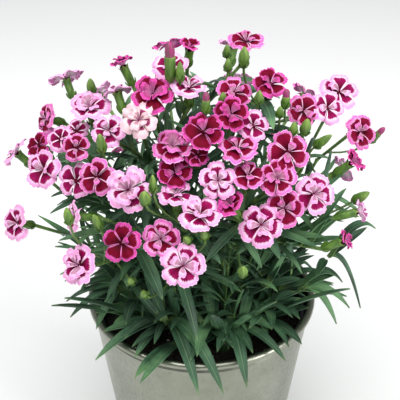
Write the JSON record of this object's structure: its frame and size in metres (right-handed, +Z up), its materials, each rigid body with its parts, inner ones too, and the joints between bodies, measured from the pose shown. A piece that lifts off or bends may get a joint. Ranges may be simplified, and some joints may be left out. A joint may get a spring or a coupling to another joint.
{
  "type": "dianthus plant",
  "caption": "Flowering garden pink (dianthus) with fringed magenta and pale pink blooms over narrow grey-green leaves, in a tapered zinc pot with a rolled rim.",
  "frame": {"origin": "middle of the underside of the pot", "axes": "+Z up along the pot's axis, -Y towards the front of the plant, +X to its right"},
  "size_m": [0.2462, 0.2238, 0.3355],
  "materials": {
    "zinc": "satin",
    "black_plastic": "matt",
    "potting_soil": "matt, crumbly",
    "foliage": "matt",
    "petals": "matt, soft"
  },
  "bodies": {
    "root": {"bloom_01": "petals", "bloom_02": "petals", "bloom_03": "petals", "bloom_04": "petals", "bloom_05_06": "petals", "bloom_07_16_18": "petals", "bloom_08": "petals", "bloom_09": "petals", "bloom_10_11": "petals", "bloom_12": "petals", "bloom_13": "petals", "bloom_14": "petals", "bloom_15": "petals", "bloom_17": "petals", "bloom_19": "petals", "bloom_20_22": "petals", "bloom_21_26": "petals", "bloom_23": "petals", "bloom_24": "petals", "bloom_25": "petals", "bloom_27_34": "petals", "bloom_28": "petals", "bloom_29_30": "petals", "bloom_31": "petals", "bloom_32": "petals", "bloom_33_35_36_38": "petals", "bloom_37_51_52_53": "petals", "bloom_39_40_41": "petals", "bloom_42": "petals", "bloom_43": "petals", "bloom_44": "petals", "bloom_45": "petals", "bloom_46": "petals", "bloom_47": "petals", "bloom_48_49": "petals", "bloom_50": "petals", "bloom_54": "petals", "bloom_55": "petals", "bloom_56": "petals", "bloom_57": "petals", "bloom_58": "petals", "bloom_59": "petals", "bloom_60": "petals", "bloom_61": "petals", "bloom_62": "petals", "bloom_63": "petals", "bloom_64": "petals", "leafy_stems_front_left": "foliage", "leafy_stems_front_right": "foliage", "leafy_stems_left": "foliage", "leafy_stems_left_front": "foliage", "leafy_stems_middle": "foliage", "leafy_stems_rear_left": "foliage", "leafy_stems_rear_right": "foliage", "leafy_stems_right": "foliage", "leafy_stems_right_front": "foliage", "nursery_pot": "black_plastic", "pot": "zinc", "soil": "potting_soil"}
  },
  "joints": []
}
